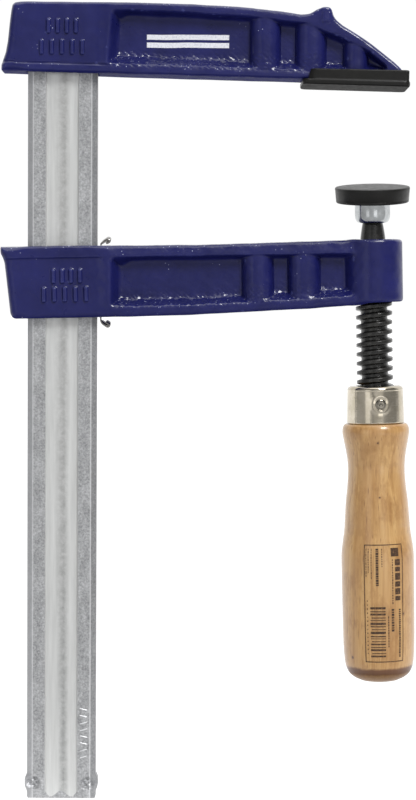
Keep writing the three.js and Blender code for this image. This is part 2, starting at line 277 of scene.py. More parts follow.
class Nodes:
    """A node tree whose nodes are added one at a time."""

    def __init__(self, tree):
        self.tree = tree

    def node(self, kind, inputs=(), **settings):
        made = self.tree.nodes.new(kind)
        for key, value in settings.items():
            setattr(made, key, value)
        for key, value in dict(inputs).items():
            if isinstance(value, bpy.types.NodeSocket):
                self.tree.links.new(value, made.inputs[key])
            else:
                made.inputs[key].default_value = value
        return made

    def bands(self, value, stops):
        """A colour ramp through stops in linear colours."""
        made = self.node("ShaderNodeValToRGB", {"Fac": value})
        points = made.color_ramp.elements
        while len(points) < len(stops):
            points.new(0.5)
        for point, (where, colour) in zip(points, stops):
            point.position, point.color = where, (*colour, 1)
        return made.outputs["Color"]

    def ramp(self, value, *stops):
        return self.bands(value, [(where, linear(colour)) for where, colour in stops])

    def map(self, value, a, b, low, high):
        inputs = {"Value": value, "From Min": a, "From Max": b, "To Min": low, "To Max": high}
        return self.node("ShaderNodeMapRange", inputs).outputs["Result"]

    def math(self, operation, a, b=0.0, c=0.0):
        made = self.node("ShaderNodeMath", {0: a, 1: b, 2: c}, operation=operation)
        return made.outputs[0]

    def mix(self, factor, a, b):
        made = self.node("ShaderNodeMix", data_type="RGBA")
        for socket, value in ((made.inputs[0], factor), (made.inputs[6], a), (made.inputs[7], b)):
            if isinstance(value, bpy.types.NodeSocket):
                self.tree.links.new(value, socket)
            else:
                socket.default_value = (*linear(value), 1)
        return made.outputs[2]


class Paint(Nodes):
    """A Principled material."""

    def __init__(self, name, **values):
        self.material = bpy.data.materials.new(name)
        self.material.use_nodes = True
        super().__init__(self.material.node_tree)
        self.shader = self.tree.nodes["Principled BSDF"]
        for socket, value in values.items():
            self.shader.inputs[socket.replace("_", " ")].default_value = value
        self.place = self.node("ShaderNodeTexCoord").outputs["Object"]

    def link(self, output, socket):
        self.tree.links.new(output, self.shader.inputs[socket])

    def stretched(self, scale):
        made = self.node("ShaderNodeMapping", {"Vector": self.place, "Scale": scale})
        return made.outputs["Vector"]

    def noise(self, size_mm, detail=2.0, roughness=0.5, vector=None, distortion=0.0):
        inputs = {"Vector": vector or self.place, "Scale": 1000 / size_mm, "Detail": detail}
        inputs.update({"Roughness": roughness, "Distortion": distortion})
        return self.node("ShaderNodeTexNoise", inputs).outputs["Fac"]

    def cells(self, size_mm, vector=None):
        inputs = {"Vector": vector or self.place, "Scale": 1000 / size_mm}
        return self.node("ShaderNodeTexVoronoi", inputs).outputs["Distance"]

    def drift(self, size_mm, low, high):
        """A value that wanders between two, in patches of about this size."""
        return self.map(self.noise(size_mm, 3, 0.6), 0.3, 0.7, low, high)

    def bump(self, height, depth_mm, strength=1.0, normal=None):
        inputs = {"Height": height, "Distance": depth_mm * MM, "Strength": strength}
        if normal is not None:
            inputs["Normal"] = normal
        return self.node("ShaderNodeBump", inputs).outputs["Normal"]


def enamel():
    p = Paint("navy_enamel", IOR=1.33, Coat_Roughness=0.1)
    tone = p.noise(14, 3, 0.6)
    base = p.ramp(tone, (0.3, (20, 23, 79)), (0.7, (29, 32, 94)))
    # painted highlight on sharp edges, where the enamel is also thin
    geometry = p.node("ShaderNodeNewGeometry")
    bend = geometry.outputs["Pointiness"]
    base = p.mix(p.map(bend, 0.512, 0.58, 0, 0.45), base, (76, 82, 146))
    # painted shade in creases and corners
    base = p.mix(p.map(bend, 0.49, 0.40, 0, 0.5), base, (12, 13, 44))
    # light sand grains stand through the enamel; they are also painted glints, shown most on slopes that
    # face up, where the light from above falls
    up = p.node("ShaderNodeSeparateXYZ", {"Vector": geometry.outputs["Normal"]}).outputs["Z"]
    grains = p.map(p.cells(1.5), 0.17, 0.10, 0, 1)
    patches = p.math("ADD", p.noise(7, 2), p.map(up, 0.05, 0.5, 0, 0.26))
    shown = p.math("MULTIPLY", grains, p.map(patches, 0.64, 0.70, 0, 1))
    base = p.mix(shown, base, (172, 177, 212))
    p.link(base, "Base Color")
    below = p.map(up, -0.75, -0.35, 1, 0)
    rough = p.drift(5, 0.27, 0.42)
    p.link(p.math("ADD", rough, p.math("MULTIPLY", below, 0.3)), "Roughness")
    p.link(p.map(below, 0, 1, 0.5, 0.12), "Specular IOR Level")
    p.link(p.math("ADD", p.map(up, -0.5, -0.2, 0, 0.15), p.map(up, 0.08, 0.4, 0, 0.85)), "Coat Weight")
    peel = p.bump(p.noise(2.6, 3, 0.6), 0.16, 0.6)
    sand = p.bump(p.noise(0.9, 3, 0.6), 0.10, p.map(up, 0.05, 0.5, 0.3, 1), peel)
    p.link(p.bump(shown, 0.12, 0.8, sand), "Normal")
    return p.material


def zinc_bar():
    """Zinc plate on the drawn bar: speckled lands beside a smoother, lighter channel, with a painted shade
    line down the channel's middle, painted shade and light on the two chamfers and a painted highlight
    along their edges.
    """
    p = Paint("zinc_bar", Metallic=0.4)
    split = p.node("ShaderNodeSeparateXYZ", {"Vector": p.place})
    across = p.math("ADD", split.outputs["X"], REACH * MM)
    distance = p.math("ABSOLUTE", across)
    channel = p.map(distance, (GROOVE_HALF + 0.15) * MM, (GROOVE_HALF - 0.15) * MM, 0, 1)
    # the channel's two hollows run out just short of the bar's free end
    rib_end = p.map(distance, 0.6 * MM, 4.0 * MM, 3.4 * MM, 0.7 * MM)
    wall_end = p.map(distance, 5.2 * MM, GROOVE_HALF * MM, 0.0, 2.4 * MM)
    height = p.math("SUBTRACT", split.outputs["Z"], cad_low.z)
    over = p.math("SUBTRACT", height, p.math("ADD", rib_end, wall_end))
    channel = p.math("MULTIPLY", channel, p.map(over, -0.15 * MM, 0.15 * MM, 0, 1))
    low_end = p.map(split.outputs["Z"], -0.15, -0.30, 0, 1)

    grain = p.noise(0.85, 4, 0.75)
    patches = p.noise(4, 3, 0.6, p.stretched((1, 1, 0.4)))
    share = p.math("ADD", p.math("MULTIPLY", grain, 0.7), p.math("MULTIPLY", patches, 0.3))
    dark, middle, light = (126, 127, 129), (167, 168, 170), (204, 205, 207)
    land = p.ramp(share, (0.34, dark), (0.5, middle), (0.66, light))
    drawn = p.noise(1.6, 3, 0.6, p.stretched((1, 1, 0.06)))
    smooth = p.ramp(drawn, (0.3, (202, 203, 202)), (0.7, (216, 217, 216)))
    # a painted shade line down the channel's middle, narrower and darker towards the bar's lower, free end
    left_side = p.map(across, p.map(low_end, 0, 1, -4.2 * MM, -1.4 * MM), 0.9 * MM, 0, 1)
    right_side = p.map(across, 3.6 * MM, 1.1 * MM, 0, 1)
    mottle = p.map(p.noise(2.2, 3, 0.7), 0.3, 0.7, 0.45, 1.1)
    shade_line = p.math("MULTIPLY", p.math("MULTIPLY", left_side, right_side), mottle)
    shade_line_colour = p.mix(low_end, (160, 160, 159), (134, 135, 135))
    smooth = p.mix(p.math("MULTIPLY", shade_line, 0.85), smooth, shade_line_colour)
    base = p.mix(channel, land, smooth)
    edge = (BAR_WIDTH / 2 - 2.4) * MM  # where the chamfers start
    # painted shade on the right chamfer and painted light on the left one
    base = p.mix(p.map(across, edge, edge + 0.4 * MM, 0, 0.45), base, (112, 113, 116))
    base = p.mix(p.map(across, -edge, -edge - 0.4 * MM, 0, 0.7), base, (172, 173, 176))
    # a painted highlight along the line where each chamfer meets the land
    rim = p.math("ABSOLUTE", p.math("SUBTRACT", distance, edge))
    base = p.mix(p.map(rim, 0.4 * MM, 0.1 * MM, 0, 0.6), base, (226, 227, 229))
    p.link(base, "Base Color")
    p.link(p.map(p.math("ADD", grain, channel), 0.3, 1.4, 0.46, 0.34), "Roughness")
    fine = p.bump(grain, 0.05, 0.55)
    p.link(p.bump(p.noise(9, 2, 0.5, p.stretched((1, 1, 0.2))), 0.08, 0.35, fine), "Normal")
    return p.material


def zinc(name, dark, light, rough, speckle_mm, depth_mm, metallic=1.0):
    p = Paint(name, Metallic=metallic)
    speckle = p.noise(speckle_mm, 3, 0.6)
    p.link(p.ramp(speckle, (0.3, dark), (0.7, light)), "Base Color")
    p.link(p.drift(1.6, rough - 0.05, rough + 0.08), "Roughness")
    p.link(p.bump(speckle, depth_mm, 0.5), "Normal")
    return p.material


def nickel():
    p = Paint("nickel_plate", Metallic=1.0)
    tone = p.noise(5, 3, 0.6)
    p.link(p.ramp(tone, (0.3, (190, 181, 162)), (0.7, (212, 203, 187))), "Base Color")
    scuffs = p.noise(1.2, 3, 0.6, p.stretched((0.25, 0.25, 2.5)))
    p.link(p.map(scuffs, 0.3, 0.75, 0.08, 0.2), "Roughness")
    p.link(p.bump(scuffs, 0.006, 0.4), "Normal")
    return p.material


def black_oxide():
    p = Paint("black_oxide", Metallic=0.4, IOR=1.5, Coat_Weight=0.3, Coat_Roughness=0.18)
    base = p.ramp(p.noise(4, 3, 0.6), (0.3, (25, 25, 25)), (0.72, (47, 46, 44)))
    bend = p.node("ShaderNodeNewGeometry").outputs["Pointiness"]
    p.link(p.mix(p.map(bend, 0.53, 0.62, 0, 0.5), base, (104, 102, 98)), "Base Color")
    p.link(p.drift(2, 0.2, 0.36), "Roughness")
    p.link(p.bump(p.noise(0.9, 3, 0.6), 0.05, 0.5), "Normal")
    return p.material


def black_plastic():
    p = Paint("black_plastic", Roughness=0.5, IOR=1.4)
    p.link(p.ramp(p.noise(8, 3, 0.6), (0.3, (11, 11, 10)), (0.7, (19, 18, 16))), "Base Color")
    normal = p.node("ShaderNodeNewGeometry").outputs["Normal"]
    up = p.node("ShaderNodeSeparateXYZ", {"Vector": normal}).outputs["Z"]
    p.link(p.map(up, -0.6, -0.3, 0.1, 0.45), "Specular IOR Level")
    rough = p.drift(3, 0.32, 0.46)
    p.link(p.math("ADD", rough, p.map(up, -0.8, -0.4, 0.22, 0)), "Roughness")
    p.link(p.bump(p.noise(0.7, 2, 0.6), 0.03, 0.6), "Normal")
    return p.material


def on_handle(around, height, lift=0.0):
    """A point on the handle or lifted off it, a distance round from its front and at a height."""
    radius = handle_radius(height) + lift
    angle = around / HANDLE_GIRTH - math.pi / 2
    return radius * math.cos(angle), radius * math.sin(angle), height


def beech():
    p = Paint("varnished_beech", Roughness=0.4, Coat_Weight=0.8, Coat_Roughness=0.14, IOR=1.5)
    # long growth lines, bent a little, with short dark flecks between them
    lean = {"Vector": p.place, "Scale": (1, 1, 0.05), "Rotation": (0.02, 0.015, 0)}
    lines = p.noise(2.2, 4, 0.65, p.node("ShaderNodeMapping", lean).outputs["Vector"], 0.6)
    broad = p.noise(8, 2, 0.5, p.stretched((1, 1, 0.1)), 0.8)
    flecks = p.cells(1.1, p.stretched((1, 1, 0.09)))
    dark, middle, light = (160, 114, 61), (194, 150, 92), (211, 171, 113)
    base = p.ramp(lines, (0.24, dark), (0.5, middle), (0.78, light))
    base = p.mix(p.map(broad, 0.38, 0.66, 0, 0.6), base, (176, 131, 80))
    base = p.mix(p.map(flecks, 0.22, 0.06, 0, 0.7), base, (122, 80, 42))
    stain = p.noise(3, 3, 0.7, p.stretched((1, 1, 0.3)))
    blotch = p.noise(9, 4, 0.7, p.stretched((1, 1, 0.6)))
    base = p.mix(p.map(blotch, 0.48, 0.68, 0, 0.7), base, (154, 107, 54))
    # small knots, each a dark spot in a brown halo
    for around, height, size in KNOTS:
        spot = SPINDLE_FRAME @ (Vector(on_handle(around, height)) * MM)
        gap = p.node("ShaderNodeVectorMath", {0: p.place, 1: tuple(spot)}, operation="DISTANCE")
        far = p.math("ADD", gap.outputs["Value"], p.math("MULTIPLY", stain, size * 1.2 * MM))
        base = p.mix(p.map(far, 2.4 * size * MM, 1.2 * size * MM, 0, 0.4), base, (140, 92, 50))
        base = p.mix(p.map(far, 1.5 * size * MM, 1.0 * size * MM, 0, 0.85), base, (74, 44, 24))
    # painted shade: a darker ring where the handle's end turns under, and the end below it painted darker
    along = p.node("ShaderNodeVectorMath", {0: p.place, 1: tuple(spindle_axis)}, operation="DOT_PRODUCT")
    ring = (SPINDLE_FRAME @ Vector((0, 0, SHADE_RING * MM))).dot(spindle_axis)
    drift = p.math("MULTIPLY", p.math("SUBTRACT", blotch, 0.5), 2.5 * MM)
    off = p.math("SUBTRACT", p.math("ADD", along.outputs["Value"], drift), ring)
    base = p.mix(p.map(p.math("ABSOLUTE", off), 1.9 * MM, 0.9 * MM, 0, 0.9), base, (94, 46, 10))
    under = p.map(off, 1.8 * MM, -1.2 * MM, 0, 1)
    base = p.mix(p.math("MULTIPLY", under, 0.7), base, (90, 56, 26))
    p.link(p.map(under, 0, 1, 0.8, 0.1), "Coat Weight")
    p.link(p.map(under, 0, 1, 0.5, 0.25), "Specular IOR Level")
    p.link(base, "Base Color")
    p.link(p.map(lines, 0.3, 0.7, 0.34, 0.48), "Roughness")
    pores = p.bump(flecks, 0.05, 0.35)
    p.link(p.bump(lines, 0.05, 0.3, pores), "Normal")
    return p.material


def ink(name, colour, thin):
    p = Paint(name, Roughness=0.45)
    worn = p.noise(0.8, 3, 0.7)
    p.link(p.ramp(worn, (0.32, thin), (0.52, colour)), "Base Color")
    p.link(p.bump(worn, 0.01, 0.4), "Normal")
    return p.material


HANDLE_END = -176.9
HANDLE_GIRTH = 15.8  # the radius at which distances round the handle are measured
KNOTS = ((0.2, -95.4, 0.55), (-0.4, -71.9, 0.6), (10.4, -145.9, 0.8), (-14.6, -165.2, 0.7))
# the height of the painted shade ring on the handle's end
SHADE_RING = -171.25
HANDLE_SHAPE = spline(
    [
        (13.3, -64.2), (14.1, -65.3), (14.55, -67.6), (13.95, -71.5), (13.1, -76.0), (12.5, -80.5),
        (12.35, -84.7), (12.7, -91.0), (13.5, -98.0), (14.05, -105.5), (14.45, -111.0),
        (15.2, -116.0), (15.7, -120.0), (15.86, -125.0), (15.78, -142.0), (15.6, -158.0),
        (15.25, -165.5), (14.7, -169.8), (13.4, -172.9), (11.3, -174.9), (8.9, -176.1),
    ],
    6,
)


def handle_radius(z):
    return float(np.interp(-z, -HANDLE_SHAPE[:, 1], HANDLE_SHAPE[:, 0]))


ENAMEL = enamel()
BAR_ZINC = zinc_bar()
PLATE_ZINC = zinc("zinc_bright", (168, 171, 173), (190, 193, 194), 0.13, 2.2, 0.004)
STAMP_ZINC = zinc("zinc_stamped", (206, 207, 209), (232, 233, 235), 0.42, 1.2, 0.01, 0.4)
SPRING_STEEL = zinc("spring_steel", (120, 117, 113), (176, 174, 171), 0.3, 0.9, 0.04)
NICKEL = nickel()
RIVET_NICKEL = zinc("nickel_rivet", (112, 108, 100), (164, 158, 146), 0.16, 1.2, 0.004)
BLACK_OXIDE = black_oxide()
BLACK_PLASTIC = black_plastic()
BEECH = beech()
BROWN_INK = ink("brown_ink", (60, 40, 24), (118, 84, 50))
WHITE_INK = ink("white_ink", (236, 237, 243), (205, 207, 222))


# ---- the bar ----

BAR_TOP, BAR_BOTTOM = 35.5, -310.3
EDGE_CHAMFER, EDGE_DEPTH = 2.4, 1.6
GROOVE_DEPTH, RIB_DROP = 1.1, 0.4
END_TAPER, TAPER_DEPTH = 4.0, 1.25
STAKES_ACROSS, STAKE_UP = (-11.9, 11.2), 7.0
BULGE = 1.0


def face_height(x):
    """How far the bar's face stands from its middle plane, at x across it."""
    x = abs(x)
    half = BAR_THICKNESS / 2
    if x > BAR_WIDTH / 2 - EDGE_CHAMFER:
        return half - EDGE_DEPTH * (x - BAR_WIDTH / 2 + EDGE_CHAMFER) / EDGE_CHAMFER
    wall = min(max((GROOVE_HALF - x) / 0.35, 0), 1)
    hollow = RIB_DROP + (GROOVE_DEPTH - RIB_DROP) * 0.5 * (1 - math.cos(math.pi * min(x / 5.2, 1)))
    return half - hollow * wall


def stake_dent(across, along):
    """The depth of a staked crater, which four chisel faces pushed in round a small peak."""
    away = np.hypot(across, along)
    angle = np.arctan2(along, across)
    faces = 1 + 0.22 * np.cos(4 * angle + 0.7)
    dent = 1.25 * (1 - ramp(away, 1.6, 3.0)) * ramp(away, -0.4, 1.5) * faces
    return dent - 0.28 * np.exp(-((away - 3.3) ** 2) / 0.22)


def build_bar():
    land = BAR_WIDTH / 2 - EDGE_CHAMFER
    across = sorted(
        {
            *np.round(np.linspace(-14.9, 14.9, 75), 3),
            *(s * v for s in (1, -1) for v in (land, land + 0.05, GROOVE_HALF, GROOVE_HALF - 0.35, 14.98)),
        }
    )
    front = [(x, -face_height(x)) for x in across]
    back = [(x, face_height(x)) for x in reversed(across)]
    side = BAR_THICKNESS / 2 - EDGE_DEPTH
    right = [(BAR_WIDTH / 2, y) for y in np.linspace(-side, side, 7)]
    left = [(-BAR_WIDTH / 2, y) for y in np.linspace(side, -side, 7)]
    section = np.array([*front, *right, *back, *left])
    stations = [
        *np.linspace(BAR_BOTTOM, BAR_BOTTOM + 1.2, 4),
        *np.arange(BAR_BOTTOM + 1.6, BAR_BOTTOM + 14, 0.35),
        *np.arange(BAR_BOTTOM + 16, BAR_TOP - 2, 6.0),
        BAR_TOP - 0.5,
        BAR_TOP,
    ]
    rings = []
    for z in stations:
        x, y = section[:, 0].copy(), section[:, 1].copy()
        limit = BAR_THICKNESS / 2 - TAPER_DEPTH * (1 - min((z - BAR_BOTTOM) / END_TAPER, 1))
        y = np.clip(y, -limit, limit)
        along = z - (BAR_BOTTOM + STAKE_UP)
        for c in STAKES_ACROSS:
            on_face = np.abs(y) > side + 0.02
            y -= np.sign(y) * stake_dent(x - c, along) * on_face
            reach = math.exp(-((along / 3.1) ** 4))
            outer = ramp(np.sign(c) * x, 12.4, 15)
            x += math.copysign(BULGE, c) * reach * outer
            y += np.sign(y) * 0.5 * reach * outer * on_face
        x *= 1 - 0.02 * max(1 - (z - BAR_BOTTOM) / 0.8, 0)
        x *= 1 - 0.02 * max(1 - (BAR_TOP - z) / 0.5, 0)
        rings.append(np.column_stack([x, y, np.full(len(x), z)]))
    points, faces = loft(rings)
    bar = make("bar_profile", points, faces, BAR_FRAME, "clamp_frame", "zinc_bar", BAR_ZINC, ["bar"])
    sharpen(bar, 24)


def build_stamp():
    """Plain strokes pressed across the bar's right land, where a bar carries its size."""
    points, faces = [], []
    land = -BAR_THICKNESS / 2
    for i, lean in enumerate((0.5, 0.5, -0.4, -0.4, 0.5, 0.5, -0.4, -0.4)):
        z = BAR_BOTTOM + 18.5 + 3.0 * i
        start = len(points)
        for step, wide in ((-1, 0.05), (-0.8, 0.24), (0, 0.3), (0.8, 0.24), (1, 0.05)):
            px, pz = 9.8 + 1.7 * step, z + lean * step
            points += [(px, land, pz - wide), (px, land - 0.14, pz), (px, land, pz + wide)]
        for k in range(4):
            for side in range(2):
                a = start + 3 * k + side
                faces.append((a, a + 3, a + 4, a + 1))
    stamp = make("bar_stamp", points, faces, BAR_FRAME, "clamp_frame", "zinc_bar", STAMP_ZINC)
    sharpen(stamp, 40)


build_bar()
build_stamp()


# ---- the castings ----

CAST_STEP = 0.45
FIXED_ARM_SEED, SLIDING_ARM_SEED = 5, 21
INK_LIFT = 0.06
COLLAR_HALF, FLANGE_HALF, WEB_HALF = 8.7, 9.4, 3.3
SLOT_GAP = 0.4
SLOT_HALF = BAR_THICKNESS / 2 + SLOT_GAP
POCKET_ROUND = 2.2
COLUMN_DEPTH = 5.8
EDGE_BLEND = 0.25  # between a collar and the ribs on it


def underside(x):
    """The height of the fixed arm's underside, at x from the bar's centre line."""
    return 2.5 + (REACH - x) * math.tan(JAW_SLOPE)


def raised_strokes(x, y, z, rows):
    """Rows of plain upright ribs raised on a collar's two faces, where a casting carries its marks. Each
    row has its ends, its height, half its ribs' height and their number."""
    field = np.full(np.broadcast(x, y, z).shape, np.inf)
    for left, right, middle, tall, count in rows:
        for cx in np.linspace(left, right, count):
            rib = box_distance(x, np.abs(y), z, (cx, COLLAR_HALF, middle), (0.85, 1.05, tall), 0.5)
            field = np.minimum(field, rib)
    return field


def column(across, depth, radius):
    """A half-round stiffening column on the web, a little flatter than it is wide."""
    flat = COLUMN_DEPTH / radius
    return np.hypot(across, (depth - WEB_HALF) / flat) - radius


def edge_round(x):
    """How far a casting's outer edges are rounded: most at its heel, behind the bar."""
    return 2.2 + 1.8 * (1 - ramp(x, -22, -13))


def plane_outline(corners, x, z):
    """An outline's distance in the XZ plane, ready to broadcast through Y."""
    return outline_distance(corners, x[:, 0], z[0]).reshape(x.shape[0], 1, z.shape[2])


def hollow_out(body, hollow, floor, depth, x, columns, steep):
    """Cuts a casting's two pockets down to its web, and leaves its columns standing. steep is where the
    pocket's sloping end wall stops."""
    draft = 0.16 + 0.4 * (1 - ramp(x, steep, steep + 6))
    room = meet(hollow + draft * (FLANGE_HALF - depth), floor, 1.4)
    room = meet(room, WEB_HALF - depth, 1.8)
    for cx, radius in columns:
        room = cut(room, column(x - cx, depth, radius), 0.7)
    return cut(body, room, 1.1)


def cast_surface(points, seed, rough=None):
    """Gives a casting's skin the slight waviness of a sand mould, except inside the bar's slot. rough is
    how much coarse sand shows at each point."""
    away = np.maximum(ramp(np.abs(points[:, 1]), 5.2, 7.0), ramp(points[:, 0], 19, 22))
    shift = 0.10 * waves(points, 17, seed) + 0.06 * waves(points, 4.5, seed + 1)
    points = points.copy()
    if rough is not None:
        points[:, 1] += 0.10 * rough * waves(points, 1.5, seed + 3)
        points[:, 2] += 0.10 * rough * waves(points, 1.4, seed + 4)
    points[:, 1] += np.sign(points[:, 1]) * away * (shift - 0.12)
    points[:, 2] += 0.06 * waves(points, 15, seed + 2) * away
    return points


def pocket_sand(points, above_front):
    """Coarse sand along a pocket's floor and the foot of its web. above_front is each point's height over
    the front edge of that floor."""
    inside = ramp(points[:, 0], 20, 24) * (1 - ramp(points[:, 0], 122, 126))
    return inside * ramp(above_front, -0.8, 0.2) * (1 - 0.75 * ramp(above_front, 4.6, 8.5))


def build_fixed_arm():
    tip = 145.6
    crown = spline(
        [
            (-9.4, 35.6), (18.4, 35.4), (37.6, 35.15), (59, 34.5), (73, 33.85), (83, 33.0),
            (94.2, 31.75), (102, 30.6),
        ],
        3,
    )
    lug = spline(
        [
            (104.3, 30.7), (106.2, 31.1), (108.1, 32.2), (109.8, 33.1), (112.2, 33.6),
            (114.4, 33.4), (115.5, 32.3), (116.1, 30.5), (117.3, 28.6), (119.9, 26.3),
        ],
        2,
    )
    nose = [(122.5, 24.7), (126.4, 22.3), (131.6, 18.8), (136.7, 15.0), (141.9, 10.9), (144.5, 8.6)]
    outer = [
        (-26.2, underside(-26.2)),
        (tip, underside(tip)),
        (tip, 7.5),
        *reversed(spline(nose, 3)),
        *reversed(lug),
        *reversed(crown),
        (-17.9, 35.65), (-20.3, 35.4), (-21.5, 34.4), (-22.0, 32.0), (-22.6, 27.3), (-23.5, 18.8),
        (-24.4, 14.0), (-25.5, 10.8), (-26.2, 8.8),
    ]
    pocket = [
        (21.8, underside(21.8) + 5),
        (136.8, underside(136.8) + 5.3),
        (130.5, 13.0), (118.0, 19.0), (103.3, 24.6), (79.0, 27.3), (50.0, 28.9), (23.4, 29.8),
    ]
    x, y, z = grid((-27, -10.4, 2.0), (146.6, 10.4, 36.6), CAST_STEP)
    depth = np.abs(y)
    foot = underside(x)
    flange = 1 - ramp(z - foot, 3.1, 3.8)
    lean = 0.24 * np.clip(z - foot - 0.8, 0, 3.0) * (1 - ramp(z - foot, 3.4, 4.2))
    half = COLLAR_HALF + (FLANGE_HALF - COLLAR_HALF) * np.maximum(flange, ramp(x, 14, 21)) - lean
    body = meet(plane_outline(outer, x, z), depth - half, edge_round(x))

    nub = box_distance(x, depth, z, (113.0, 5.0, 30.5), (2.2, 5.1, 3.6), 1.6)
    nub = meet(nub, plane_outline(outer, x, z), 1.2)
    body = union(body, nub, 1.0)

    floor_rise = 3.4  # from the arm's underside to the front edge of its pockets' floor
    slope = 0.76 - 0.22 * ramp(x, 23, 85)
    floor = (foot + floor_rise + slope * (FLANGE_HALF - depth) - z) * 0.85
    hollow = plane_outline(pocket, x, z) - POCKET_ROUND
    body = hollow_out(body, hollow, floor, depth, x, ((87.1, 6.5), (106.7, 6.5), (126.0, 5.3)), 23)
    marks = ((-5.8, 6.0, 25.0, 3.1, 4), (-8.8, 8.7, 16.1, 3.2, 5))
    body = union(body, raised_strokes(x, y, z, marks), EDGE_BLEND)
    slot = box_distance(x, y, z, (0, 0, 20), (BAR_WIDTH / 2 + SLOT_GAP, SLOT_HALF, 60))
    body = cut(body, slot, 0.6)
    points, faces = skin(body, (x, y, z), CAST_STEP)
    sand = pocket_sand(points, points[:, 2] - underside(points[:, 0]) - floor_rise)
    points = cast_surface(points, FIXED_ARM_SEED, sand)
    make("fixed_arm_casting", points, faces, BAR_FRAME, "clamp_frame", "blue_enamel", ENAMEL, ["fixed_arm"])


def build_stripes():
    """Two plain white stripes printed on the fixed arm's web, on both sides."""
    points, faces = [], []
    across, rows = np.arange(36.2, 71.8, 0.6), 4
    for side in (-1, 1):
        for low, high in ((16.6, 18.8), (20.0, 22.2)):
            faces += sheet(len(points), rows, len(across), flip=side > 0)
            for z in np.linspace(low, high, rows):
                points += [(x, side * (WEB_HALF + INK_LIFT), z) for x in across]
    points = cast_surface(np.array(points), FIXED_ARM_SEED)
    make("web_stripes", points, faces, BAR_FRAME, "clamp_frame", "blue_enamel", WHITE_INK)


BOSS_RADIUS, BOSS_LOW, BOSS_HIGH = 12.7, -11.4, 15.6
BORE_RADIUS, BORE_MIDDLE, BORE_HALF = 8.35, 2.1, 12.3  # the bore widens beyond its straight stretch
SLOT_MIDDLE, SLOT_REACH = 1.05, 16.5  # the sliding arm's slot, which also holds the brake spring


def shelf_edge(x):
    """The height of the front edge of the sliding arm's pocket floor."""
    return -11.4 + 2.9 * np.clip((x - 60) / 64, 0, 1)


def build_sliding_arm():
    outer = [
        (-26.2, 15.6), (-26.2, 12.9), (-25.2, 10.8), (-24.6, 8.6), (-22.6, -13.2), (-21.8, -15.0),
        (-20.6, -15.6),
        *spline([(20, -15.6), (40, -15.55), (60, -15.2), (81, -14.5), (107, -13.6), (124, -12.7)], 2),
        (135, -12.7), (135, 15.5),
        *spline([(120, 15.5), (98, 15.3), (81, 15.0), (60, 14.9), (38, 14.95), (10, 15.4)], 2),
    ]
    pocket = [(23.2, -9.3), (131, -8.0), (131, 7.4), (60, 7.7), (23.6, 7.9)]
    x, y, z = grid((-27, -13.4, -16.3), (148.6, 13.4, 16.4), CAST_STEP)
    depth = np.abs(y)
    flange = ramp(z, 9.9, 10.5)
    lean = 0.16 * np.clip(z - 10.4, 0, 6) * ramp(x, 16, 24)
    half = COLLAR_HALF + (FLANGE_HALF - COLLAR_HALF) * np.maximum(flange, ramp(x, 14, 21)) - lean
    body = meet(plane_outline(outer, x, z), depth - half, edge_round(x))

    floor = (shelf_edge(x) + 0.5 * (FLANGE_HALF - depth) - z) * 0.88
    hollow = plane_outline(pocket, x, z) - POCKET_ROUND
    body = hollow_out(body, hollow, floor, depth, x, ((84.6, 6.7), (104.7, 6.9)), 25)
    body = meet(body, x - REACH, 0.5)
    side = np.hypot(x - REACH, y) - BOSS_RADIUS
    boss = meet(side, np.maximum(BOSS_LOW - z, z - BOSS_HIGH), 1.6)
    body = union(body, boss, 1.4)
    marks = ((-3.4, 8.0, 2.4, 3.1, 4), (-7.7, 10.5, -5.5, 3.2, 5))
    body = union(body, raised_strokes(x, y, z, marks), EDGE_BLEND)
    slot = box_distance(x, y, z, (SLOT_MIDDLE, 0, 0), (SLOT_REACH, SLOT_HALF, 30))
    body = cut(body, slot, 0.6)
    from_axis = np.hypot(x - REACH, y)
    bore = from_axis - (BORE_RADIUS + np.maximum(np.abs(z - BORE_MIDDLE) - BORE_HALF, 0) * 0.8)
    body = cut(body, bore, 0.5)
    points, faces = skin(body, (x, y, z), CAST_STEP)
    sand = pocket_sand(points, points[:, 2] - shelf_edge(points[:, 0]))
    rough = cast_surface(points, SLIDING_ARM_SEED, sand)
    near_bore = np.hypot(points[:, 0] - REACH, points[:, 1]) < BORE_RADIUS + 2.15
    rough[near_bore] = points[near_bore]
    make("sliding_arm_casting", rough, faces, ARM_FRAME, "carriage", "blue_enamel", ENAMEL, ["sliding_arm"])


build_fixed_arm()
build_stripes()
build_sliding_arm()


# ---- the plastic cap on the fixed jaw ----

def build_jaw_cap():
    """A lip round the clamping face, and walls on it that grip the foot of the casting."""
    step = 0.33
    lip_half, wall_half, wall_end = 12.2, 11.95, 13.5
    floor_top, room_end = 2.2, 11.0
    x, y, z = grid((-33, -13.4, -0.6), (15.6, 13.4, 8), step)
    depth = np.abs(y)
    plan = box_distance(x, y, z, (-9.1, 0, 0), (23.1, lip_half, 50), 2.6)
    lip = meet(plan, -z, 0.9)
    lip = meet(lip, z - floor_top - 0.05, 0.35)
    slant = (-(x + 30.4) + z * 0.27) * 0.96
    bevel = (-(x + 27.6) + z * 0.1) * 0.55 + (depth - wall_half) * 0.83
    top = z - (6.7 + 0.009 * (x + 30))
    walls = meet(np.maximum(slant, x - wall_end), depth - wall_half, 1.6)
    walls = meet(walls, bevel, 0.4)
    walls = meet(walls, np.maximum(top, 1.0 - z), 0.6)
    body = union(lip, walls, 0.2)
    room = np.maximum(np.maximum(x - room_end, depth - FLANGE_HALF - 0.25), floor_top - z)
    body = cut(body, room, 0.3)
    points, faces = skin(body, (x, y, z), step)
    points[:, 2] = np.maximum(points[:, 2], 0.0)
    look = ("clamp_frame", "black_plastic", BLACK_PLASTIC)
    sharpen(make("jaw_shoe", points, faces, JAW_FRAME, *look, ["jaw_cap"]), 38)


build_jaw_cap()


# ---- the brake spring ----

